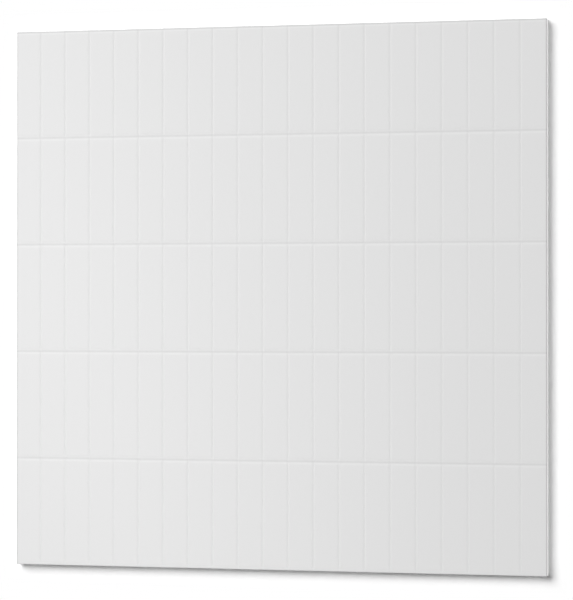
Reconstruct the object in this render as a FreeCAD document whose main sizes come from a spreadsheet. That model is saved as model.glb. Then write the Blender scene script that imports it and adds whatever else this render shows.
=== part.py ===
import FreeCAD, Part
import os
import Sketcher

# Square vinyl wall tile, embossed as a stack of upright fingers.
#
# The tile lies on its back: the origin is the centre of the back face, +Z points out of
# the embossed face, +X runs across the fingers and +Y runs along them. Millimetres.
# It is pressed and cut from one sheet, so it is one solid. The joints between the fingers
# are shallow channels in its face. The same channels lie on its four edges too, where half
# of each falls outside the tile, so that two tiles laid edge to edge make a whole joint.

TILE = "vinyl_tile"

# Driving dimensions. A joint is a channel with a narrow flat bed. Each of its sides climbs
# as a wall, and then more gently as a shoulder, up to the face.
SIZES = {
    "tile_width": 304.8,
    "tile_height": 304.8,
    "tile_thickness": 5.0,
    "corner_radius": 0.5,
    "back_arris": 0.3,
    "rim_arris": 0.12,
    "finger_columns": 21,
    "finger_rows": 5,
    "column_joint_bed": 0.4,
    "column_joint_wall_run": 0.5,
    "column_joint_wall_rise": 0.07,
    "column_joint_shoulder_run": 0.4,
    "column_joint_shoulder_rise": 0.03,
    "row_joint_bed": 1.4,
    "row_joint_wall_run": 0.7,
    "row_joint_wall_rise": 0.04,
    "row_joint_shoulder_run": 0.4,
    "row_joint_shoulder_rise": 0.02,
    "cutter_overrun": 0.2,
}

# The numbers that a sketch constraint takes for the two ends of a line, and for the
# sketch's own axes, whose start point is the sketch's origin
START, END = range(1, 3)
SKETCH_X_AXIS, SKETCH_Y_AXIS = range(-1, -3, -1)

JOINT_PARTS = ("bed", "wall_run", "wall_rise", "shoulder_run", "shoulder_rise")

VOLUME_TOLERANCE = 1e-6


def make_sheet(doc):
    """The spreadsheet that every sketch and feature reads."""
    sheet = doc.addObject("Spreadsheet::Sheet", "sizes")
    for row, (alias, value) in enumerate(SIZES.items(), start=1):
        sheet.set(f"A{row}", alias)
        sheet.set(f"B{row}", str(value))
        sheet.setAlias(f"B{row}", alias)
    doc.recompute()
    return sheet


def origin_feature(body, role):
    """One of the body's own origin planes or axes, found by its role."""
    for feature in body.Origin.OriginFeatures:
        if feature.Role == role:
            return feature
    raise ValueError(f"the body has no origin feature {role}")


def add_sketch(body, name, plane_role):
    """An empty sketch on one of the body's origin planes."""
    sketch = body.newObject("Sketcher::SketchObject", name)
    sketch.AttachmentSupport = [(origin_feature(body, plane_role), "")]
    sketch.MapMode = "FlatFace"
    return sketch


def add_outline(sketch, corners):
    """A closed outline of straight lines. Line i starts at corner i."""
    count = len(corners)
    for index in range(count):
        start = FreeCAD.Vector(*corners[index], 0)
        end = FreeCAD.Vector(*corners[(index + 1) % count], 0)
        sketch.addGeometry(Part.LineSegment(start, end), False)
    for index in range(count):
        following = (index + 1) % count
        sketch.addConstraint(Sketcher.Constraint("Coincident", index, END, following, START))


def bind(sketch, name, constraint, expression):
    """Adds a dimension to a sketch and ties it to the spreadsheet."""
    index = sketch.addConstraint(constraint)
    sketch.renameConstraint(index, name)
    sketch.setExpression(f"Constraints.{name}", expression)


def make_blank(doc, body):
    """The plain sheet, cut to size, with its upright corners and back edges eased."""
    outline = add_sketch(body, "blank_outline", "XY_Plane")
    half_width = SIZES["tile_width"] / 2
    half_height = SIZES["tile_height"] / 2
    add_outline(
        outline,
        [
            (-half_width, -half_height),
            (half_width, -half_height),
            (half_width, half_height),
            (-half_width, half_height),
        ],
    )
    bottom, right, top, left = range(4)
    for line in (bottom, top):
        outline.addConstraint(Sketcher.Constraint("Horizontal", line))
    for line in (right, left):
        outline.addConstraint(Sketcher.Constraint("Vertical", line))
    outline.addConstraint(
        Sketcher.Constraint("Symmetric", bottom, START, top, START, SKETCH_X_AXIS, START)
    )
    width = Sketcher.Constraint("DistanceX", bottom, START, bottom, END, SIZES["tile_width"])
    bind(outline, "width", width, "sizes.tile_width")
    height = Sketcher.Constraint("DistanceY", right, START, right, END, SIZES["tile_height"])
    bind(outline, "height", height, "sizes.tile_height")

    blank = body.newObject("PartDesign::Pad", "blank")
    blank.Profile = outline
    blank.setExpression("Length", "sizes.tile_thickness")
    doc.recompute()

    corners = body.newObject("PartDesign::Fillet", "upright_corners")
    corners.Base = (blank, edges_where(blank, is_upright))
    corners.setExpression("Radius", "sizes.corner_radius")
    doc.recompute()

    back = body.newObject("PartDesign::Chamfer", "back_edge")
    back.Base = (corners, edges_where(corners, is_on_back))
    back.setExpression("Size", "sizes.back_arris")
    doc.recompute()


def edges_where(feature, wanted):
    """Names of the feature's edges that pass a test on the edge."""
    edges = feature.Shape.Edges
    return [f"Edge{number}" for number, edge in enumerate(edges, start=1) if wanted(edge)]


def is_upright(edge):
    """Edges that run from the back to the face."""
    ends = [vertex.Point for vertex in edge.Vertexes]
    return abs(ends[0].z - ends[-1].z) > SIZES["tile_thickness"] / 2


def is_on_back(edge):
    """Edges that lie in the plane of the back."""
    return abs(edge.BoundBox.ZMax) < SIZES["back_arris"] / 2


def add_joint_section(body, kind, plane_role, side):
    """
    The section of one joint, drawn round the sketch's own origin.

    That origin is moved to the tile's face and to the edge that the first joint lies on,
    so the section is centred on the cut wall and only half of it meets the tile. Its
    shoulders keep their slope past the face, which leaves no skin on the face.
    """
    section = add_sketch(body, f"{kind}_joint_section", plane_role)
    section.setExpression(".AttachmentOffset.Base.x", f"-sizes.{side} / 2")
    section.setExpression(".AttachmentOffset.Base.y", "sizes.tile_thickness")
    part_of = {part: SIZES[f"{kind}_joint_{part}"] for part in JOINT_PARTS}
    over = SIZES["cutter_overrun"]
    knee_depth = part_of["shoulder_rise"]
    bed_depth = knee_depth + part_of["wall_rise"]
    half_bed = part_of["bed"] / 2
    half_knee = half_bed + part_of["wall_run"]
    slope = part_of["shoulder_run"] / part_of["shoulder_rise"]
    half_mouth = half_knee + slope * (part_of["shoulder_rise"] + over)
    add_outline(
        section,
        [
            (-half_bed, -bed_depth),
            (half_bed, -bed_depth),
            (half_knee, -knee_depth),
            (half_mouth, over),
            (-half_mouth, over),
            (-half_knee, -knee_depth),
        ],
    )
    bed, right_wall, right_shoulder, mouth, left_shoulder, left_wall = range(6)
    pairs = [
        (bed, START, bed, END),
        (right_wall, END, left_wall, START),
        (mouth, START, mouth, END),
    ]
    for pair in pairs:
        section.addConstraint(Sketcher.Constraint("Symmetric", *pair, SKETCH_Y_AXIS))

    name = f"sizes.{kind}_joint"
    bed_width = Sketcher.Constraint("DistanceX", bed, START, bed, END, 2 * half_bed)
    bind(section, "bed", bed_width, f"{name}_bed")
    wall_run = Sketcher.Constraint(
        "DistanceX", right_wall, START, right_wall, END, part_of["wall_run"]
    )
    bind(section, "wall_run", wall_run, f"{name}_wall_run")
    wall_rise = Sketcher.Constraint(
        "DistanceY", right_wall, START, right_wall, END, part_of["wall_rise"]
    )
    bind(section, "wall_rise", wall_rise, f"{name}_wall_rise")
    knee = Sketcher.Constraint(
        "DistanceY", right_shoulder, START, SKETCH_X_AXIS, START, knee_depth
    )
    bind(section, "knee_depth", knee, f"{name}_shoulder_rise")
    proud = Sketcher.Constraint("DistanceY", SKETCH_X_AXIS, START, mouth, START, over)
    bind(section, "proud", proud, "sizes.cutter_overrun")
    reach = half_mouth - half_knee
    shoulder = Sketcher.Constraint(
        "DistanceX", right_shoulder, START, right_shoulder, END, reach
    )
    bind(
        section,
        "shoulder",
        shoulder,
        f"{name}_shoulder_run * (1 + sizes.cutter_overrun / {name}_shoulder_rise)",
    )
    return section


def cut_along(doc, body, name, section, run):
    """Cuts a section along the whole tile. The run is the tile's size that way."""
    cut = body.newObject("PartDesign::Pocket", name)
    cut.Profile = section
    cut.SideType = "Symmetric"
    cut.setExpression("Length", f"sizes.{run} + 2 * sizes.cutter_overrun")
    doc.recompute()
    return cut


def make_joints(doc, body, kind, plane_role, axis_role, side, run):
    """Joints of one direction, from one edge of the tile to the other, both edges too."""
    section = add_joint_section(body, kind, plane_role, side)
    joint = cut_along(doc, body, f"{kind}_joint", section, run)
    joints = body.newObject("PartDesign::LinearPattern", f"{kind}_joints")
    joints.Originals = [joint]
    joints.Direction = (origin_feature(body, axis_role), [""])
    joints.setExpression("Length", f"sizes.{side}")
    joints.setExpression("Occurrences", f"sizes.finger_{kind}s + 1")
    body.Tip = joints
    doc.recompute()


def make_rim_arris(doc, body, kind, plane_role, mirror_role, side, run):
    """
    The sharp edge between a half joint's bed and the cut wall, eased on two opposite sides.

    The section is a right-angled triangle with its corner outside the tile, and its long
    side cuts the wall and the bed at 45 degrees, one arris in from where they meet.
    """
    section = add_sketch(body, f"{kind}_rim_section", plane_role)
    section.setExpression(".AttachmentOffset.Base.x", f"-sizes.{side} / 2")
    joint = f"sizes.{kind}_joint"
    bed_level = f"sizes.tile_thickness - {joint}_wall_rise - {joint}_shoulder_rise"
    section.setExpression(".AttachmentOffset.Base.y", bed_level)
    over = SIZES["cutter_overrun"]
    leg = 2 * over + SIZES["rim_arris"]
    add_outline(section, [(-over, over), (-over, over - leg), (leg - over, over)])
    outer, slope, upper = range(3)
    section.addConstraint(Sketcher.Constraint("Vertical", outer))
    section.addConstraint(Sketcher.Constraint("Horizontal", upper))
    section.addConstraint(Sketcher.Constraint("Equal", outer, upper))
    out = Sketcher.Constraint("DistanceX", outer, START, SKETCH_X_AXIS, START, over)
    bind(section, "out", out, "sizes.cutter_overrun")
    proud = Sketcher.Constraint("DistanceY", SKETCH_X_AXIS, START, outer, START, over)
    bind(section, "proud", proud, "sizes.cutter_overrun")
    reach = Sketcher.Constraint("DistanceX", upper, END, upper, START, leg)
    bind(section, "leg", reach, "2 * sizes.cutter_overrun + sizes.rim_arris")

    arris = cut_along(doc, body, f"{kind}_rim_arris", section, run)
    both = body.newObject("PartDesign::Mirrored", f"{kind}_rim_arrises")
    both.Originals = [arris]
    both.MirrorPlane = (origin_feature(body, mirror_role), [""])
    body.Tip = both
    doc.recompute()


def make_tile(doc):
    """The whole tile: blank, joints both ways, and the eased rim."""
    body = doc.addObject("PartDesign::Body", TILE)
    body.Label = TILE
    body.Placement = FreeCAD.Placement()
    make_blank(doc, body)
    make_joints(doc, body, "column", "XZ_Plane", "X_Axis", "tile_width", "tile_height")
    make_joints(doc, body, "row", "YZ_Plane", "Y_Axis", "tile_height", "tile_width")
    make_rim_arris(doc, body, "column", "XZ_Plane", "YZ_Plane", "tile_width", "tile_height")
    make_rim_arris(doc, body, "row", "YZ_Plane", "XZ_Plane", "tile_height", "tile_width")
    return body


def check_document(doc):
    """Stops if any object of the document failed."""
    for item in doc.Objects:
        for fault in ("Invalid", "Error"):
            if fault in item.State:
                raise RuntimeError(f"{item.Name} is {fault}")


def check_cuts(body):
    """Stops if a feature that should take material away took none."""
    last_volume = None
    for feature in body.Group:
        if feature.isDerivedFrom("Sketcher::SketchObject"):
            continue
        volume = feature.Shape.Volume
        if last_volume is not None and volume > last_volume - VOLUME_TOLERANCE:
            raise RuntimeError(f"{feature.Name} cuts nothing")
        print(f"{feature.Name}: {volume:.2f} mm3, {len(feature.Shape.Faces)} faces")
        last_volume = volume


def export(body):
    """Writes the tile's solid under its own label."""
    shape = body.Shape
    if shape.isNull() or not shape.isValid():
        raise RuntimeError(f"{body.Label} has no valid shape")
    if len(shape.Solids) != 1:
        raise RuntimeError(f"{body.Label} is {len(shape.Solids)} solids")
    os.makedirs("parts", exist_ok=True)
    shape.exportStep(os.path.join("parts", body.Label + ".step"))
    box = shape.BoundBox
    print(f"{body.Label}: {box.XLength:.2f} x {box.YLength:.2f} x {box.ZLength:.2f} mm")


document = FreeCAD.newDocument("vinyl_tile_model")
make_sheet(document)
tile = make_tile(document)
check_document(document)
check_cuts(tile)
export(tile)
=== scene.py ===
# %% [markdown]
# # A vinyl wall tile, embossed as stacked fingers
#
# The real object is one square of rigid white vinyl, taken to be 12 inches across and 5 mm
# thick. A grid of very shallow joints is pressed into its face, so that it looks like five
# rows of upright finger tiles, and it is cut out through the middle of a joint on all four
# sides. What there is to see comes down to three things: the soft section of the joints,
# the way they run out through the rim, and the finish of the vinyl.
#
# The solid model already has the right size, and this script must not change it. It has
# straight facets where the real joints are soft, so the plan is to model one finger,
# repeat it, and trim the rim, all inside the solid's own box. The steps are:
#
# 1. load the solid and measure its box
# 2. draw the section of a joint, and round it
# 3. press that section round one finger, and repeat the finger
# 4. give the sheet its thickness, and trim the cut rim
# 5. make the three finishes of the face, the cut edge and the back
# 6. set the floor, the lamps and the camera as they are in the photograph
#
# ## The frame
#
# Its box is kept because the tile's outline and the spacing of its joints are worked out
# from it.

# %% Load the frame and measure the tile
import math

import bpy
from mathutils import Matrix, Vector


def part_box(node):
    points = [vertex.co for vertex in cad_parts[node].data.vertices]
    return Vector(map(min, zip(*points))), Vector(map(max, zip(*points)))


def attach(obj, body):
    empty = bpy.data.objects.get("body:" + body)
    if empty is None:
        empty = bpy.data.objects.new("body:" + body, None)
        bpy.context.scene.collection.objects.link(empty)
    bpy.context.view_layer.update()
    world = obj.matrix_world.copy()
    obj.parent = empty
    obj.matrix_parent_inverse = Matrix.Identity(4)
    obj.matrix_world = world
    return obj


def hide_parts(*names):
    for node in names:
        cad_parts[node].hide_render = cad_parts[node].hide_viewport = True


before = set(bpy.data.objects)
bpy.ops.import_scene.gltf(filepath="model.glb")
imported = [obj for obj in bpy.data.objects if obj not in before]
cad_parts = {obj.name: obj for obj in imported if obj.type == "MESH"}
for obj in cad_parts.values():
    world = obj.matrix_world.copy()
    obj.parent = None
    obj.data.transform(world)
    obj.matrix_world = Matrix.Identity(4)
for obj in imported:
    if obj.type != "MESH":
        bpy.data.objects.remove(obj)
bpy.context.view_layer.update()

NODE = "vinyl_tile"
BODY = "root"
low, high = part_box(NODE)
SIDE_X = high.x - low.x
SIDE_Y = high.y - low.y
FACE_LEVEL = high.z
print(f"tile {SIDE_X:.4f} x {SIDE_Y:.4f} x {FACE_LEVEL - low.z:.4f} m")

# %% [markdown]
# ## Working habits
#
# Operators act on whatever is selected, and the loaded solid starts out selected, so every
# new piece begins by deselecting everything. Inside a mesh, vertices and faces are picked
# in code by where they are or which way they face, the way a modeller would box-select them.
# Selection flags set in object mode are the ones that edit mode shows, so each helper
# changes mode there and back.

# %% Millimetres and small helpers
MM = 0.001
NEAR = 0.002 * MM


def deselect_all():
    """Leaves no object selected, so that the next operator touches only its own piece."""
    bpy.ops.object.select_all(action="DESELECT")


def select_vertices(piece, wanted):
    """In edit mode, selects the vertices that pass a test on their place."""
    bpy.ops.mesh.select_all(action="DESELECT")
    bpy.ops.mesh.select_mode(type="VERT")
    bpy.ops.object.mode_set(mode="OBJECT")
    for vertex in piece.data.vertices:
        vertex.select = wanted(vertex.co)
    bpy.ops.object.mode_set(mode="EDIT")


def select_faces(piece, wanted):
    """In edit mode, selects the faces that pass a test on the face."""
    bpy.ops.mesh.select_mode(type="FACE")
    bpy.ops.mesh.select_all(action="DESELECT")
    bpy.ops.object.mode_set(mode="OBJECT")
    for polygon in piece.data.polygons:
        polygon.select = wanted(polygon)
    bpy.ops.object.mode_set(mode="EDIT")


print(f"a point within {NEAR / MM:.3f} mm of a place counts as being there")

# %% [markdown]
# ## The joint's section
#
# A joint is a channel with a flat bed. Its sides climb as a wall and then, more gently, as
# a shoulder. The upright joints are narrow and 0.10 mm deep, the level ones wide and only
# 0.06 mm deep: under side light they show as a soft grey line with a lighter one beside it.
#
# The solid draws the section with straight lines. Pressed vinyl has no sharp line, so here
# the same section is rounded. A Bevel modifier could round the lines of the finished mesh,
# but it would round the outer rim too and move it. Taking the mean of the straight section
# over a short stretch either side of each point rounds it just as well, and leaves the
# tile's box as it is.

# %% Section of a joint
COLUMNS = 21
ROWS = 5


class Joint:
    """Half sizes and depths of one kind of joint, from its centre line outwards."""

    def __init__(self, half_bed, wall_run, wall_rise, shoulder_run, shoulder_rise, soften):
        self.bed = half_bed
        self.knee = half_bed + wall_run
        self.mouth = self.knee + shoulder_run
        self.depth = wall_rise + shoulder_rise
        self.knee_depth = shoulder_rise
        self.soften = soften

    def straight_depth(self, offset):
        """Depth of the section with straight lines, at a distance from the centre line."""
        away = abs(offset)
        if away <= self.bed:
            return self.depth
        if away <= self.knee:
            share = (away - self.bed) / (self.knee - self.bed)
            return self.depth + share * (self.knee_depth - self.depth)
        if away <= self.mouth:
            share = (away - self.knee) / (self.mouth - self.knee)
            return self.knee_depth * (1 - share)
        return 0.0

    def soft_depth(self, offset):
        """Mean depth over a stretch centred on the offset, which rounds every corner."""
        steps = 12
        total = 0.0
        for step in range(steps):
            shift = ((step + 0.5) / steps - 0.5) * 2 * self.soften
            total += self.straight_depth(offset + shift)
        return total / steps

    def lines(self):
        """Offsets of the mesh lines that draw half of the section, the last out on the face."""
        offsets = [self.bed - self.soften, self.bed, self.bed + self.soften]
        offsets += [self.knee - self.soften, self.knee, self.knee + self.soften]
        offsets += [self.mouth - self.soften, self.mouth, self.mouth + self.soften]
        offsets += [self.mouth + 2 * self.soften]
        return offsets


COLUMN_JOINT = Joint(
    half_bed=0.20 * MM,
    wall_run=0.50 * MM,
    wall_rise=0.07 * MM,
    shoulder_run=0.40 * MM,
    shoulder_rise=0.03 * MM,
    soften=0.15 * MM,
)
ROW_JOINT = Joint(
    half_bed=0.70 * MM,
    wall_run=0.70 * MM,
    wall_rise=0.04 * MM,
    shoulder_run=0.40 * MM,
    shoulder_rise=0.02 * MM,
    soften=0.18 * MM,
)
for name, joint in (("column", COLUMN_JOINT), ("row", ROW_JOINT)):
    print(f"{name} joint: {2000 * joint.mouth:.2f} mm wide, {1000 * joint.depth:.2f} mm deep")

# %% [markdown]
# ## One finger
#
# All the fingers are alike, so one is modelled and the rest are copies. It starts as a
# plane as large as the pitch, with half a joint on each of its four sides. A loop cut would
# need a window, so the Bisect operator lays the lines of the section across the plane, in
# both directions and exactly where they belong. The flat land between the joints gets no
# lines at all, which keeps the mesh light.

# %% Lay the section's lines across a plane
PITCH_X = SIDE_X / COLUMNS
PITCH_Y = SIDE_Y / ROWS
FINGER_LEFT = low.x
FINGER_FRONT = low.y

deselect_all()
middle = (FINGER_LEFT + PITCH_X / 2, FINGER_FRONT + PITCH_Y / 2, FACE_LEVEL)
bpy.ops.mesh.primitive_plane_add(size=1, location=middle)
tile = bpy.context.active_object
tile.name = "embossed_tile"
tile.data.name = "embossed_tile"
tile.scale = (PITCH_X, PITCH_Y, 1)
bpy.ops.object.transform_apply(location=True, rotation=True, scale=True)


def line_places(start, pitch, joint):
    """Every line's place and depth across one pitch, from one joint's centre to the next."""
    near_side = [(start + offset, joint.soft_depth(offset)) for offset in joint.lines()]
    far_side = [(start + pitch - offset, joint.soft_depth(offset)) for offset in joint.lines()]
    ends = [(start, joint.soft_depth(0.0)), (start + pitch, joint.soft_depth(0.0))]
    return sorted(near_side + far_side + ends)


def lay_lines(places, axis):
    """Cuts the whole mesh along each place, without parting it."""
    normal = [0, 0, 0]
    normal[axis] = 1
    for place, _ in places[1:-1]:
        point = [0, 0, 0]
        point[axis] = place
        bpy.ops.mesh.select_all(action="SELECT")
        bpy.ops.mesh.bisect(plane_co=point, plane_no=normal, threshold=NEAR / 10)


column_lines = line_places(FINGER_LEFT, PITCH_X, COLUMN_JOINT)
row_lines = line_places(FINGER_FRONT, PITCH_Y, ROW_JOINT)
bpy.ops.object.mode_set(mode="EDIT")
lay_lines(column_lines, 0)
lay_lines(row_lines, 1)
bpy.ops.object.mode_set(mode="OBJECT")
print(f"one finger: {len(tile.data.vertices)} vertices, {len(tile.data.polygons)} faces")

# %% [markdown]
# ## Pressing the joints
#
# Each line is pressed down to its level by scaling it flat about that level. Lines that are
# already deeper are left alone, so where an upright joint meets a level one the deeper of
# the two wins, and the channels meet in a mitre, as they do where a tool presses both.

# %% Press each line down to its level


def press_lines(places, axis):
    """Flattens each line to its own level, leaving what is already deeper."""
    for place, depth in places:
        level = FACE_LEVEL - depth
        select_vertices(tile, lambda co: abs(co[axis] - place) < NEAR and co.z > level)
        bpy.ops.transform.resize(value=(1, 1, 0), center_override=(0, 0, level))


bpy.ops.object.mode_set(mode="EDIT")
press_lines(column_lines, 0)
press_lines(row_lines, 1)
bpy.ops.object.mode_set(mode="OBJECT")
depths = [FACE_LEVEL - vertex.co.z for vertex in tile.data.vertices]
print(f"pressed between {min(depths) / MM:.3f} and {max(depths) / MM:.3f} mm below the face")

# %% [markdown]
# ## The whole face
#
# Two Array modifiers repeat the finger across and then along the tile. Their copies meet in
# the middle of a joint, where merging welds them into one sheet. The offset is the pitch
# itself, so the last finger ends exactly on the far edge of the solid's box.

# %% Repeat the finger


def repeat(piece, name, count, offset):
    """An applied array whose copies are welded where they meet."""
    array = piece.modifiers.new(name, "ARRAY")
    array.count = count
    array.use_relative_offset = False
    array.use_constant_offset = True
    array.constant_offset_displace = offset
    array.use_merge_vertices = True
    array.merge_threshold = NEAR
    bpy.ops.object.modifier_apply(modifier=array.name)


repeat(tile, "across", COLUMNS, (PITCH_X, 0, 0))
repeat(tile, "along", ROWS, (0, PITCH_Y, 0))
print(f"whole face: {len(tile.data.polygons)} faces")

# %% [markdown]
# ## Thickness
#
# The open rim of the face is extruded and scaled flat onto the back's level, which gives
# four upright walls at once, and one face closes the back. The back needs none of the
# rim's many points, so a limited dissolve takes the ones that lie on its straight edges.

# %% Walls and back
UPRIGHT_UNDER = 0.5
FLAT_UNDER = math.radians(0.1)

bpy.ops.object.mode_set(mode="EDIT")
bpy.ops.mesh.select_mode(type="EDGE")
bpy.ops.mesh.select_all(action="DESELECT")
bpy.ops.mesh.select_non_manifold()
bpy.ops.mesh.extrude_region_move()
bpy.ops.transform.resize(value=(1, 1, 0), center_override=(0, 0, low.z))
bpy.ops.mesh.edge_face_add()
select_faces(
    tile,
    lambda face: abs(face.normal.z) < UPRIGHT_UNDER or face.center.z < low.z + NEAR,
)
bpy.ops.mesh.dissolve_limited(angle_limit=FLAT_UNDER)
bpy.ops.mesh.select_all(action="SELECT")
bpy.ops.mesh.normals_make_consistent(inside=False)
bpy.ops.object.mode_set(mode="OBJECT")
print(f"closed: {len(tile.data.polygons)} faces")

# %% [markdown]
# ## The cut rim
#
# A cut leaves the rim square and sharp, and handling takes the sharpness off. Each edge is
# trimmed as a hand plane would do it: a bisect plane is laid against the edge, what is
# outside it is cleared, and the cut is filled. Three planes, each turned a little further
# than the last, make a rounded arris. The Bevel operator isn't used, because the upper edge
# steps down into every joint that runs out through the rim, and a bevel catches on those
# steps. The four upright corners come first, so that the arrises run round them.

# %% Rounding an edge plane by plane
CORNER_RADIUS = 0.5 * MM
RIM_ARRIS = 0.12 * MM
BACK_ARRIS = 0.3 * MM
FACETS = 3


def trim(point, outward):
    """Clears everything on the outer side of a plane and closes the cut."""
    bpy.ops.mesh.select_all(action="SELECT")
    bpy.ops.mesh.bisect(
        plane_co=point,
        plane_no=outward,
        use_fill=True,
        clear_outer=True,
        threshold=NEAR / 10,
    )


def facet_angles():
    """The tilt of each facet of a rounded edge, spread evenly over the quarter turn."""
    return [math.radians(90) * (step + 1) / (FACETS + 1) for step in range(FACETS)]


def round_edge(corner, first, second, radius):
    """Trims the edge through a corner point, between the faces that look along two axes."""
    centre = corner - (first + second) * radius
    for angle in facet_angles():
        outward = first * math.cos(angle) + second * math.sin(angle)
        trim(centre + outward * radius, outward)


print("facets at", [round(math.degrees(angle), 1) for angle in facet_angles()], "degrees")

# %% Trim the corners and the arrises
UP = Vector((0, 0, 1))
DOWN = Vector((0, 0, -1))
SIDES = [Vector((1, 0, 0)), Vector((0, 1, 0)), Vector((-1, 0, 0)), Vector((0, -1, 0))]

bpy.ops.object.mode_set(mode="EDIT")
bpy.ops.mesh.select_mode(type="VERT")
for index, side in enumerate(SIDES):
    following = SIDES[(index + 1) % len(SIDES)]
    corner = Vector(((side + following).x * SIDE_X / 2, (side + following).y * SIDE_Y / 2, 0))
    round_edge(corner, side, following, CORNER_RADIUS)
for side in SIDES:
    joint = COLUMN_JOINT if side.x else ROW_JOINT
    edge = Vector((side.x * SIDE_X / 2, side.y * SIDE_Y / 2, 0))
    round_edge(edge + UP * (FACE_LEVEL - joint.depth), side, UP, RIM_ARRIS)
    round_edge(edge + UP * low.z, side, DOWN, BACK_ARRIS)
bpy.ops.mesh.select_all(action="SELECT")
bpy.ops.mesh.remove_doubles(threshold=NEAR / 4)
bpy.ops.mesh.normals_make_consistent(inside=False)
bpy.ops.object.mode_set(mode="OBJECT")
print(f"trimmed: {len(tile.data.polygons)} faces")

# %% [markdown]
# ## Smooth joints, crisp edges
#
# The lines of a joint turn by only a few degrees each, and the rim by far more. Shading
# smooth under 15 degrees therefore makes the joints flow and keeps the rim crisp.

# %% Shade by angle and measure
SMOOTH_UNDER = math.radians(15)
bpy.ops.object.shade_smooth_by_angle(angle=SMOOTH_UNDER)
corners = [Vector(vertex.co) for vertex in tile.data.vertices]
for axis in range(3):
    places = [corner[axis] for corner in corners]
    print(f"axis {axis}: {min(places):.5f} to {max(places):.5f} m")

# %% [markdown]
# ## Three finishes on one piece
#
# The face is satin white, and the cut shows rougher vinyl without that skin, painted lighter
# than the face as painted light on the side walls. The flat back is plain. They are one
# material each, given to the faces by which way they look. All three are pressed or cut from
# the same stuff and share its grain, so the grain is a node group, built once and placed in
# each material with its own sizes. It adds a fine and a broad noise as one height, which a
# Bump node turns into tiny dents.

# %% A group for fine grain
GRAIN_GROUP = "fine_grain"


def make_grain_group():
    """Two sizes of noise mixed as a height, for the skin of any pressed or cut vinyl."""
    group = bpy.data.node_groups.new(GRAIN_GROUP, "ShaderNodeTree")
    face = group.interface
    face.new_socket("Vector", in_out="INPUT", socket_type="NodeSocketVector")
    face.new_socket("Fine Scale", in_out="INPUT", socket_type="NodeSocketFloat")
    face.new_socket("Broad Scale", in_out="INPUT", socket_type="NodeSocketFloat")
    face.new_socket("Broad Share", in_out="INPUT", socket_type="NodeSocketFloat")
    face.new_socket("Height", in_out="OUTPUT", socket_type="NodeSocketFloat")
    nodes = group.nodes
    links = group.links
    entry = nodes.new("NodeGroupInput")
    leave = nodes.new("NodeGroupOutput")
    fine = nodes.new("ShaderNodeTexNoise")
    fine.inputs["Detail"].default_value = 3.0
    fine.inputs["Roughness"].default_value = 0.6
    broad = nodes.new("ShaderNodeTexNoise")
    broad.inputs["Detail"].default_value = 2.0
    mix = nodes.new("ShaderNodeMix")
    mix.data_type = "FLOAT"
    links.new(entry.outputs["Vector"], fine.inputs["Vector"])
    links.new(entry.outputs["Vector"], broad.inputs["Vector"])
    links.new(entry.outputs["Fine Scale"], fine.inputs["Scale"])
    links.new(entry.outputs["Broad Scale"], broad.inputs["Scale"])
    links.new(entry.outputs["Broad Share"], mix.inputs["Factor"])
    links.new(fine.outputs["Fac"], mix.inputs["A"])
    links.new(broad.outputs["Fac"], mix.inputs["B"])
    links.new(mix.outputs["Result"], leave.inputs["Height"])
    return group


make_grain_group()
print("group", GRAIN_GROUP)

# %% [markdown]
# ## Helpers for the materials
#
# A constant colour or roughness is written straight on the shader's socket, and only what
# changes over the surface gets nodes. Every pattern reads Object coordinates, which are
# metres from the tile's own origin, so its scales can be read as waves per metre.

# %% Material helpers


def new_material(name):
    """A node material with its Principled shader and Object coordinates at hand."""
    material = bpy.data.materials.new(name)
    material.use_nodes = True
    shader = material.node_tree.nodes["Principled BSDF"]
    place = material.node_tree.nodes.new("ShaderNodeTexCoord")
    return material, shader, place


def add_grain(material, shader, place, fine, broad, share, distance):
    """Places the grain group in a material and feeds it to the shader as a bump."""
    nodes = material.node_tree.nodes
    links = material.node_tree.links
    grain = nodes.new("ShaderNodeGroup")
    grain.node_tree = bpy.data.node_groups[GRAIN_GROUP]
    grain.inputs["Fine Scale"].default_value = fine
    grain.inputs["Broad Scale"].default_value = broad
    grain.inputs["Broad Share"].default_value = share
    bump = nodes.new("ShaderNodeBump")
    bump.inputs["Distance"].default_value = distance
    links.new(place.outputs["Object"], grain.inputs["Vector"])
    links.new(grain.outputs["Height"], bump.inputs["Height"])
    links.new(bump.outputs["Normal"], shader.inputs["Normal"])
    return grain


def multiply(material, first, second):
    """The product of two values, each given as a node's output."""
    product = material.node_tree.nodes.new("ShaderNodeMath")
    product.operation = "MULTIPLY"
    material.node_tree.links.new(first, product.inputs[0])
    material.node_tree.links.new(second, product.inputs[1])
    return product.outputs["Value"]


# %% [markdown]
# ## The painted shading of a joint
#
# The beds of the joints are painted a little darker than the face, as painted shade in the
# channels, and the lips beside the level joints a little lighter, as a painted highlight. In
# the photograph a joint's line has a part that is the same on both of its sides, which is
# read as this painted shading, and a part that is dark on one side and light on the other,
# which is read as the relief that the mesh already has.
#
# The tone could be painted on an image, but a few numbers say it all: a tone on the bed,
# another on the lips beside it, and none beyond. A Ping-Pong node folds the whole tile on
# to one half pitch, so that its output is the distance to the nearest joint, and two Map
# Range nodes with soft ends read the two tones off that distance. The upright and the level
# joints use the same group with their own widths and tones.

# %% A group for the tone of a joint
JOINT_SHADING_GROUP = "joint_tone"
JOINT_INPUTS = ("Place", "Start", "Pitch", "Bed Edge", "Bed Shade", "Lip Edge", "Lip Tone")


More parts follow.
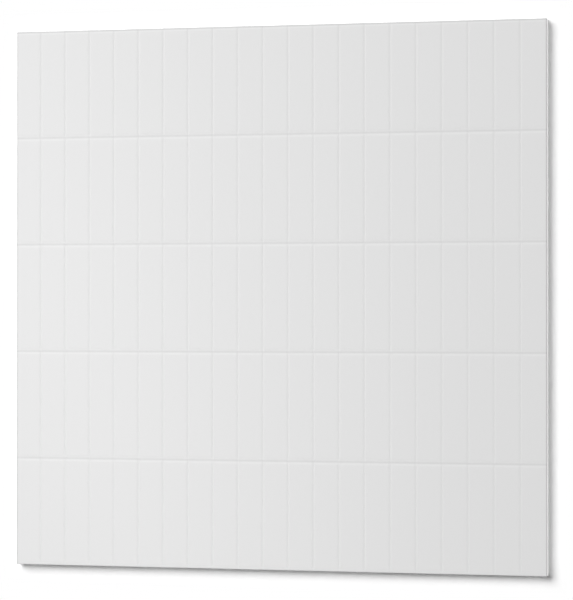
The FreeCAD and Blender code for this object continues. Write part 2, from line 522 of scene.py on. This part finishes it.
def make_joint_shading_group():
    """Painted shade and highlight beside a row of joints, from the distance to the nearest one.
    """
    group = bpy.data.node_groups.new(JOINT_SHADING_GROUP, "ShaderNodeTree")
    for name in JOINT_INPUTS:
        group.interface.new_socket(name, in_out="INPUT", socket_type="NodeSocketFloat")
    group.interface.new_socket("Tone", in_out="OUTPUT", socket_type="NodeSocketFloat")
    nodes = group.nodes
    links = group.links
    entry = nodes.new("NodeGroupInput")
    leave = nodes.new("NodeGroupOutput")
    along = nodes.new("ShaderNodeMath")
    along.operation = "SUBTRACT"
    half_pitch = nodes.new("ShaderNodeMath")
    half_pitch.operation = "MULTIPLY"
    half_pitch.inputs[1].default_value = 0.5
    away = nodes.new("ShaderNodeMath")
    away.operation = "PINGPONG"
    links.new(entry.outputs["Place"], along.inputs[0])
    links.new(entry.outputs["Start"], along.inputs[1])
    links.new(entry.outputs["Pitch"], half_pitch.inputs[0])
    links.new(along.outputs["Value"], away.inputs[0])
    links.new(half_pitch.outputs["Value"], away.inputs[1])
    bed = nodes.new("ShaderNodeMapRange")
    bed.interpolation_type = "SMOOTHSTEP"
    links.new(away.outputs["Value"], bed.inputs["Value"])
    links.new(entry.outputs["Bed Edge"], bed.inputs["From Max"])
    links.new(entry.outputs["Bed Shade"], bed.inputs["To Min"])
    links.new(entry.outputs["Lip Tone"], bed.inputs["To Max"])
    lip = nodes.new("ShaderNodeMapRange")
    lip.interpolation_type = "SMOOTHSTEP"
    links.new(away.outputs["Value"], lip.inputs["Value"])
    links.new(entry.outputs["Bed Edge"], lip.inputs["From Min"])
    links.new(entry.outputs["Lip Edge"], lip.inputs["From Max"])
    mix = nodes.new("ShaderNodeMix")
    mix.data_type = "FLOAT"
    mix.inputs["B"].default_value = 1.0
    links.new(lip.outputs["Result"], mix.inputs["Factor"])
    links.new(bed.outputs["Result"], mix.inputs["A"])
    links.new(mix.outputs["Result"], leave.inputs["Tone"])
    return group


make_joint_shading_group()
print("group", JOINT_SHADING_GROUP)

# %% [markdown]
# ## The line along the rim
#
# A thin dark line of painted shade runs just inside the two sides, as dark as the shaded
# right-hand edge and given to both sides alike. A paler grey band runs just inside the top.
# Each is a band of tone at a set distance from the edge, with a soft end. Both sides are
# alike, so for them the band reads the distance from the middle of the tile.

# %% Tones of joint and rim
# Painted shade on the beds of the upright joints, and fainter painted shade on their lips.
COLUMN_SHADING = {
    "Bed Edge": 0.8 * MM,
    "Bed Shade": 0.995,
    "Lip Edge": 1.6 * MM,
    "Lip Tone": 0.987,
}
# Painted shade on the beds of the level joints, and a painted highlight on their lips.
ROW_SHADING = {
    "Bed Edge": 1.0 * MM,
    "Bed Shade": 0.915,
    "Lip Edge": 2.1 * MM,
    "Lip Tone": 1.022,
}
# Painted shade: the dark line inside both cut sides, as tone, width and soft end.
SIDE_RIM_SHADE = (0.66, 0.35 * MM, 0.65 * MM)
TOP_RIM = (0.90, 0.80 * MM, 1.30 * MM)
print("tones of the beds:", COLUMN_SHADING["Bed Shade"], ROW_SHADING["Bed Shade"])
print("tones of the rims:", SIDE_RIM_SHADE[0], TOP_RIM[0])

# %% Helpers that place a tone along one axis


def add_joint_shading(material, split, axis, start, pitch, settings):
    """Places the group of painted joint shading for one axis of the tile."""
    tone = material.node_tree.nodes.new("ShaderNodeGroup")
    tone.node_tree = bpy.data.node_groups[JOINT_SHADING_GROUP]
    tone.inputs["Start"].default_value = start
    tone.inputs["Pitch"].default_value = pitch
    for name, value in settings.items():
        tone.inputs[name].default_value = value
    material.node_tree.links.new(split.outputs[axis], tone.inputs["Place"])
    return tone.outputs["Tone"]


def add_rim_tone(material, split, axis, half, look, both_sides=False):
    """A darker band along a cut side, as tone, width and soft end; painted shade on the sides.
    """
    tone, width, end = look
    nodes = material.node_tree.nodes
    links = material.node_tree.links
    place = split.outputs[axis]
    if both_sides:
        away = nodes.new("ShaderNodeMath")
        away.operation = "ABSOLUTE"
        links.new(place, away.inputs[0])
        place = away.outputs["Value"]
    band = nodes.new("ShaderNodeMapRange")
    band.interpolation_type = "SMOOTHSTEP"
    band.inputs["From Min"].default_value = half - end
    band.inputs["From Max"].default_value = half - width
    band.inputs["To Min"].default_value = 1.0
    band.inputs["To Max"].default_value = tone
    links.new(place, band.inputs["Value"])
    return band.outputs["Result"]


# %% [markdown]
# ## The satin face
#
# The face is an even white with a soft sheen. Its roughness is one number, because nothing
# on the tile is worn or wiped. The four tones, painted shade and highlight at the two kinds
# of joint, painted shade along the cut sides and a grey band along the top, are multiplied
# together and then with the white, so each of them can be changed without touching the
# others. The grain's dents are a hundredth of a millimetre, just enough to break up a
# reflection seen from close by.

# %% Satin face
WHITE = 0.80
SATIN = 0.48
FACE_GRAIN = (2600.0, 420.0, 0.45, 0.012 * MM)


def make_face_finish():
    """Satin white vinyl, with painted shade and highlight at the joints and painted shade at
    the rim.
    """
    material, shader, place = new_material("satin_vinyl")
    nodes = material.node_tree.nodes
    links = material.node_tree.links
    add_grain(material, shader, place, *FACE_GRAIN)
    split = nodes.new("ShaderNodeSeparateXYZ")
    links.new(place.outputs["Object"], split.inputs["Vector"])
    columns = add_joint_shading(material, split, "X", low.x, PITCH_X, COLUMN_SHADING)
    rows = add_joint_shading(material, split, "Y", low.y, PITCH_Y, ROW_SHADING)
    sides = add_rim_tone(material, split, "X", SIDE_X / 2, SIDE_RIM_SHADE, both_sides=True)
    top = add_rim_tone(material, split, "Y", SIDE_Y / 2, TOP_RIM)
    # Painted shade and highlight of the joints and the rim, multiplied into one tone.
    tone = multiply(material, columns, rows)
    tone = multiply(material, tone, sides)
    tone = multiply(material, tone, top)
    white = nodes.new("ShaderNodeMath")
    white.operation = "MULTIPLY"
    white.inputs[1].default_value = WHITE
    links.new(tone, white.inputs[0])
    links.new(white.outputs["Value"], shader.inputs["Base Color"])
    shader.inputs["Roughness"].default_value = SATIN
    return material


face_finish = make_face_finish()
print("material", face_finish.name)

# %% [markdown]
# ## The cut edge and the back
#
# The cut edge is duller than the skin, with a fine speckle, and its white is painted lighter
# than the face's: painted light that brightens the side walls. The back takes the adhesive,
# so it is duller still and has a coarser tooth. On both the grain does two jobs. As a height
# it makes the dents, and through a colour ramp it makes the speckle, so light and dents agree.

# %% Cut edge and back
# The cut edge's white is painted lighter than the face's, as painted light on the walls.
EDGE_LIGHTENED_WHITE = 0.92
EDGE_ROUGHNESS = 0.75
EDGE_GRAIN = (3800.0, 900.0, 0.35, 0.02 * MM)
BACK_WHITE = 0.72
BACK_ROUGHNESS = 0.80
BACK_GRAIN = (1400.0, 160.0, 0.50, 0.06 * MM)
SPECKLE_TONE = 0.93
SPECKLE_LOW = 0.30
SPECKLE_HIGH = 0.65


def add_ramp(material, stops):
    """A colour ramp through (position, grey) stops."""
    ramp = material.node_tree.nodes.new("ShaderNodeValToRGB")
    for element, (position, grey) in zip(ramp.color_ramp.elements, stops):
        element.position = position
        element.color = (grey, grey, grey, 1)
    return ramp


def make_bare_finish(name, grain_values, white, roughness):
    """Bare vinyl without its skin, speckled by the same grain that dents it."""
    material, shader, place = new_material(name)
    links = material.node_tree.links
    grain = add_grain(material, shader, place, *grain_values)
    speckle = add_ramp(material, [(SPECKLE_LOW, SPECKLE_TONE * white), (SPECKLE_HIGH, white)])
    links.new(grain.outputs["Height"], speckle.inputs["Fac"])
    links.new(speckle.outputs["Color"], shader.inputs["Base Color"])
    shader.inputs["Roughness"].default_value = roughness
    return material


edge_finish = make_bare_finish("cut_vinyl", EDGE_GRAIN, EDGE_LIGHTENED_WHITE, EDGE_ROUGHNESS)
back_finish = make_bare_finish("plain_back", BACK_GRAIN, BACK_WHITE, BACK_ROUGHNESS)
print("materials", edge_finish.name, back_finish.name)

# %% [markdown]
# ## Giving out the finishes
#
# A face that looks up belongs to the skin, one that looks down to the back, and the rest to
# the cut. The limit for the skin is low, so that the whole rounded arris of the upper rim
# stays with it.

# %% Assign the finishes and hand the tile to the frame
for material in (face_finish, edge_finish, back_finish):
    tile.data.materials.append(material)
FACE_SLOT, EDGE_SLOT, BACK_SLOT = range(3)
SKIN_OVER = 0.2
BACK_UNDER = -0.8
counts = [0, 0, 0]
for polygon in tile.data.polygons:
    if polygon.normal.z > SKIN_OVER:
        polygon.material_index = FACE_SLOT
    elif polygon.normal.z < BACK_UNDER:
        polygon.material_index = BACK_SLOT
    else:
        polygon.material_index = EDGE_SLOT
    counts[polygon.material_index] += 1
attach(tile, BODY)
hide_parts(NODE)
print("faces of face, edge and back:", counts)

# %% [markdown]
# ## The floor
#
# The tile lies on a white floor. The floor has a window under the tile, a little smaller
# than the tile's back. The tile covers it, so from above nothing of it shows, and a view
# from below can see the back.

# %% Floor
FLOOR_SIZE = 2.4
WINDOW_LAP = 0.6 * MM
FLOOR_WINDOW = SIDE_X - 2 * WINDOW_LAP

deselect_all()
bpy.ops.mesh.primitive_plane_add(size=FLOOR_SIZE, location=(0, 0, 0))
floor = bpy.context.active_object
floor.name = "floor"
bpy.ops.object.mode_set(mode="EDIT")
bpy.ops.mesh.inset(thickness=(FLOOR_SIZE - FLOOR_WINDOW) / 2, depth=0)
bpy.ops.mesh.delete(type="FACE")
bpy.ops.object.mode_set(mode="OBJECT")
print(f"floor {FLOOR_SIZE} m across, of {len(floor.data.polygons)} faces round its window")

# %% [markdown]
# ## The white of the floor
#
# The floor is lost in a white background, and only the tile's soft shadow shows on it. More
# light would bleach the tile, so the whiteness comes from the floor's material. Light Path
# tells which kind of ray has arrived. To the camera, and to rays that are mirrored or pass
# through, the floor near the tile is a little over white, so that it shows the shadow and
# is pure white beside it. That white rises a little from left to right, because the lamps'
# light falls off that way, and so the shadow looks alike along the whole lower edge. A
# short way off, past the shadow's reach, the floor turns into a white that glows by itself
# at a strength of one, the same as the world's, so no edge of it can be seen. To the light
# that it sends back to the tile, the whole floor is a plain white surface.

# %% Masks for the white
SHADOW_REACH = 5 * MM
BLEND_REACH = 11 * MM


def whitened(nodes, links):
    """One for the rays that should see a white background, nought for all others."""
    path = nodes.new("ShaderNodeLightPath")
    glossy = nodes.new("ShaderNodeMath")
    glossy.operation = "MAXIMUM"
    links.new(path.outputs["Is Camera Ray"], glossy.inputs[0])
    links.new(path.outputs["Is Glossy Ray"], glossy.inputs[1])
    either = nodes.new("ShaderNodeMath")
    either.operation = "MAXIMUM"
    links.new(glossy.outputs["Value"], either.inputs[0])
    links.new(path.outputs["Is Transmission Ray"], either.inputs[1])
    return either.outputs["Value"]


def distance_mask(nodes, links):
    """Nought up to the shadow's reach from the tile's outline, one a little further out."""
    place = nodes.new("ShaderNodeTexCoord")
    split = nodes.new("ShaderNodeSeparateXYZ")
    links.new(place.outputs["Object"], split.inputs["Vector"])
    furthest = nodes.new("ShaderNodeMath")
    furthest.operation = "MAXIMUM"
    for index, axis in enumerate(("X", "Y")):
        away = nodes.new("ShaderNodeMath")
        away.operation = "ABSOLUTE"
        links.new(split.outputs[axis], away.inputs[0])
        links.new(away.outputs["Value"], furthest.inputs[index])
    mask = nodes.new("ShaderNodeMapRange")
    mask.interpolation_type = "SMOOTHSTEP"
    mask.inputs["From Min"].default_value = SIDE_X / 2 + SHADOW_REACH
    mask.inputs["From Max"].default_value = SIDE_X / 2 + BLEND_REACH
    links.new(furthest.outputs["Value"], mask.inputs["Value"])
    return mask.outputs["Result"]


print(f"glow starts {SHADOW_REACH / MM:.0f} mm out and is full at {BLEND_REACH / MM:.0f} mm")

# %% Floor material
WHITE_AT_LEFT = 1.07
WHITE_AT_RIGHT = 1.17
BOUNCE_WHITE = 1.0


def graded_white(nodes, links):
    """The floor's white from the tile's left side to its right, and level beyond both."""
    place = nodes.new("ShaderNodeTexCoord")
    split = nodes.new("ShaderNodeSeparateXYZ")
    links.new(place.outputs["Object"], split.inputs["Vector"])
    white = nodes.new("ShaderNodeMapRange")
    white.inputs["From Min"].default_value = -SIDE_X / 2
    white.inputs["From Max"].default_value = SIDE_X / 2
    white.inputs["To Min"].default_value = WHITE_AT_LEFT
    white.inputs["To Max"].default_value = WHITE_AT_RIGHT
    links.new(split.outputs["X"], white.inputs["Value"])
    return white.outputs["Result"]


def make_floor_finish():
    """White to the camera, a plain white surface to the light that it sends back."""
    material = bpy.data.materials.new("floor_white")
    material.use_nodes = True
    nodes = material.node_tree.nodes
    links = material.node_tree.links
    nodes.remove(nodes["Principled BSDF"])
    seen = nodes.new("ShaderNodeBsdfDiffuse")
    links.new(graded_white(nodes, links), seen.inputs["Color"])
    glow = nodes.new("ShaderNodeEmission")
    backdrop = nodes.new("ShaderNodeMixShader")
    links.new(distance_mask(nodes, links), backdrop.inputs["Fac"])
    links.new(seen.outputs["BSDF"], backdrop.inputs[1])
    links.new(glow.outputs["Emission"], backdrop.inputs[2])
    bounced = nodes.new("ShaderNodeBsdfDiffuse")
    bounced.inputs["Color"].default_value = (BOUNCE_WHITE, BOUNCE_WHITE, BOUNCE_WHITE, 1)
    mix = nodes.new("ShaderNodeMixShader")
    links.new(whitened(nodes, links), mix.inputs["Fac"])
    links.new(bounced.outputs["BSDF"], mix.inputs[1])
    links.new(backdrop.outputs["Shader"], mix.inputs[2])
    links.new(mix.outputs["Shader"], nodes["Material Output"].inputs["Surface"])
    return material


floor.data.materials.append(make_floor_finish())
print("material", floor.data.materials[0].name)

# %% [markdown]
# ## The world
#
# The world is a very weak even light that fills the shadow, and white to the same rays as
# the floor, so the floor's far edge can't be seen against it.

# %% World
SKY_SHARE = 0.045


def make_world():
    """Weak even light, and plain white where a view goes past the floor."""
    world = bpy.data.worlds.new("studio")
    world.use_nodes = True
    nodes = world.node_tree.nodes
    links = world.node_tree.links
    sky = nodes["Background"]
    sky.inputs["Color"].default_value = (1, 1, 1, 1)
    sky.inputs["Strength"].default_value = SKY_SHARE
    seen = nodes.new("ShaderNodeBackground")
    seen.inputs["Color"].default_value = (1, 1, 1, 1)
    seen.inputs["Strength"].default_value = 1.0
    mix = nodes.new("ShaderNodeMixShader")
    links.new(whitened(nodes, links), mix.inputs["Fac"])
    links.new(sky.outputs["Background"], mix.inputs[1])
    links.new(seen.outputs["Background"], mix.inputs[2])
    links.new(mix.outputs["Shader"], nodes["World Output"].inputs["Surface"])
    return world


bpy.context.scene.world = make_world()
print("world", bpy.context.scene.world.name)

# %% [markdown]
# ## The lamps
#
# The photograph tells where its light came from. The shadow is widest below and to the
# right, so the main softbox stands up and to the left, and the shadow's soft edge says how
# large that softbox looks from the tile. The face is lighter along its left side, so a
# small long softbox stands close to that side. With the cards of the next step they light
# the face at a plain level: a colour shows about as it is written. Every lamp is hidden
# from the camera, so that no view catches it.

# %% Softboxes
KEY_WATTS = 788.0
LEFT_WATTS = 0.285


def add_softbox(name, shape, size, azimuth, elevation, distance, watts):
    """
    A softbox aimed at the tile. A disk takes one size, a rectangle its length and width.

    The azimuth is in degrees to the left of straight up the tile, as the camera sees it.
    """
    turn = math.radians(azimuth)
    rise = math.radians(elevation)
    level = math.cos(rise)
    towards = Vector((-math.sin(turn) * level, math.cos(turn) * level, math.sin(rise)))
    deselect_all()
    bpy.ops.object.light_add(type="AREA", location=towards * distance)
    lamp = bpy.context.active_object
    lamp.name = name
    lamp.data.shape = shape
    lamp.data.size = size[0]
    lamp.data.size_y = size[-1]
    lamp.data.energy = watts
    lamp.rotation_euler = towards.to_track_quat("Z", "Y").to_euler()
    lamp.visible_camera = False
    print(f"{name}: {watts} W")
    return lamp


add_softbox(
    "key_softbox",
    shape="DISK",
    size=(6.7,),
    azimuth=45,
    elevation=47,
    distance=8.5,
    watts=KEY_WATTS,
)
add_softbox(
    "left_softbox",
    shape="RECTANGLE",
    size=(0.50, 0.08),
    azimuth=114,
    elevation=57,
    distance=0.41,
    watts=LEFT_WATTS,
)

# %% [markdown]
# ## Light for the walls
#
# The right side wall, which faces away from both softboxes, is still as light as the face,
# so a card beside the tile sends some light back. A weaker card does the same for the wall
# along the bottom, which only turned views show. Both cards stand almost level with the
# tile, so that they light its walls and hardly touch its face and its shadow.

# %% Cards
RIGHT_CARD_WATTS = 28.0
FRONT_CARD_WATTS = 3.0

add_softbox(
    "right_card",
    shape="DISK",
    size=(0.4,),
    azimuth=270,
    elevation=5,
    distance=2.5,
    watts=RIGHT_CARD_WATTS,
)
add_softbox(
    "front_card",
    shape="DISK",
    size=(0.4,),
    azimuth=180,
    elevation=5,
    distance=2.5,
    watts=FRONT_CARD_WATTS,
)

# %% [markdown]
# ## Light for the back
#
# The lamps above the floor can't reach the tile's back. One more softbox lies under the
# floor and lights it through the window, for a view from below.

# %% Softbox under the floor
UNDER_WATTS = 26.0

add_softbox(
    "under_softbox",
    shape="DISK",
    size=(1.2,),
    azimuth=0,
    elevation=-90,
    distance=1.5,
    watts=UNDER_WATTS,
)

# %% [markdown]
# ## The camera
#
# With the face taken as square, its four edges and the even spacing of its joints were
# enough to find where the camera stood: 1.4 m above the face, 18 cm past its right edge, and
# turned back towards it by about 13 degrees. The long lens keeps the far side almost as
# large as the near one. The Standard view shows colours as they are, without a film look.

# %% Camera
CAMERA_PLACE = Vector((331.7, -8.7, 1380.9)) * MM
CAMERA_YAW = math.radians(13.26)
CAMERA_PITCH = math.radians(0.296)
CAMERA_LENS = 152.3

deselect_all()
bpy.ops.object.camera_add(location=CAMERA_PLACE + UP * FACE_LEVEL)
camera = bpy.context.active_object
camera.name = "camera"
camera.rotation_euler = (CAMERA_PITCH, CAMERA_YAW, 0)
camera.data.lens = CAMERA_LENS
bpy.context.scene.camera = camera
bpy.context.scene.view_settings.view_transform = "Standard"
print("camera at", [round(value, 4) for value in camera.location])
